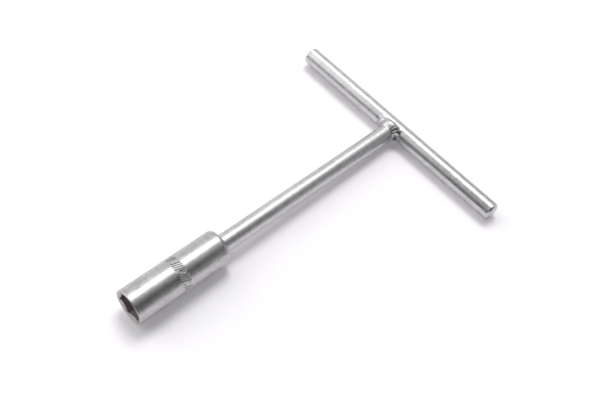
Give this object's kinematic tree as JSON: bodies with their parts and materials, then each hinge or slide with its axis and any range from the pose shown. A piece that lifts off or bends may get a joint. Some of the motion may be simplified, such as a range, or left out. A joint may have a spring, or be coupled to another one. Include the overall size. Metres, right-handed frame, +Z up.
{
  "type": "tee-handle socket wrench",
  "caption": "One-piece tee-handle socket wrench: a long hexagon socket on a round shank, with a round cross bar welded across the far end.",
  "frame": {"origin": "centre of the hexagon socket's mouth, on the shank's axis", "axes": "+Y from the mouth along the shank to the cross bar, +X along the longer arm of the cross bar, +Z up with the tool lying down"},
  "size_m": [0.1425, 0.185, 0.019],
  "materials": {
    "socket_chrome": "satin chrome plate on turned steel",
    "rod_chrome": "satin chrome plate on drawn rod",
    "weld_chrome": "satin chrome plate over a weld bead"
  },
  "bodies": {
    "root": {"socket": "socket_chrome", "shank": "rod_chrome", "cross_bar": "rod_chrome", "tee_weld": "weld_chrome"}
  },
  "joints": []
}
